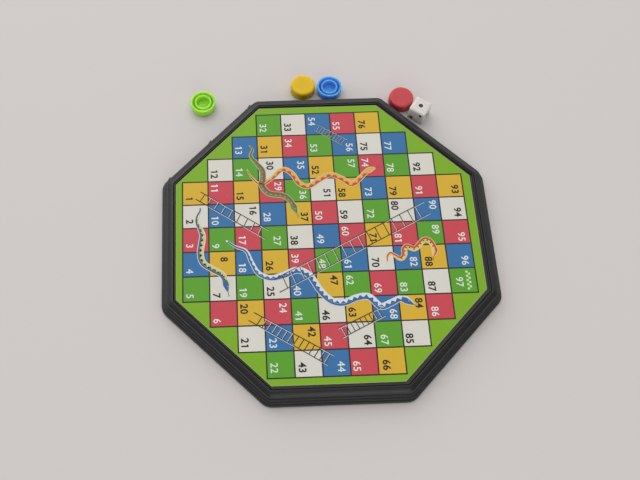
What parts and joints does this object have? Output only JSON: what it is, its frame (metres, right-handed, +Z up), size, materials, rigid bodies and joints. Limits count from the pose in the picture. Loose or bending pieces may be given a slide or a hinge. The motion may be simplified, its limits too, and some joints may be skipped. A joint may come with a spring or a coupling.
{
  "type": "snakes and ladders board",
  "caption": "Octagonal board game set: a stepped black moulded tray holding a printed card of coloured squares, with loose round counters and a die beside it.",
  "frame": {"origin": "centre of the tray's underside, on the table plane", "axes": "+Z up out of the printed face, +Y towards the far side where the counters lie, +X to the right along the rows that end at square 97"},
  "size_m": [0.2502, 0.2728, 0.014],
  "materials": {
    "tray_plastic": "semi-gloss moulded black",
    "printed_card": "satin printed card",
    "green_plastic": "semi-gloss moulded plastic",
    "yellow_plastic": "semi-gloss moulded plastic",
    "blue_plastic": "semi-gloss moulded plastic",
    "red_plastic": "semi-gloss moulded plastic",
    "die_plastic": "white gloss with black pips"
  },
  "bodies": {
    "board": {"tray": "tray_plastic", "playing_card": "printed_card"},
    "green_counter": {"counter_green": "green_plastic"},
    "yellow_counter": {"counter_yellow": "yellow_plastic"},
    "blue_counter": {"counter_blue": "blue_plastic"},
    "red_counter": {"counter_red": "red_plastic"},
    "die": {"die": "die_plastic"}
  },
  "joints": [
    {"name": "green_lift", "type": "slide", "parent": "board", "child": "green_counter", "axis": [0, 0, 1], "range_m": [0, 0.04]},
    {"name": "yellow_lift", "type": "slide", "parent": "board", "child": "yellow_counter", "axis": [0, 0, 1], "range_m": [0, 0.04]},
    {"name": "blue_lift", "type": "slide", "parent": "board", "child": "blue_counter", "axis": [0, 0, 1], "range_m": [0, 0.04]},
    {"name": "red_lift", "type": "slide", "parent": "board", "child": "red_counter", "axis": [0, 0, 1], "range_m": [0, 0.04]},
    {"name": "die_lift", "type": "slide", "parent": "board", "child": "die", "axis": [0, 0, 1], "range_m": [0, 0.04]}
  ]
}
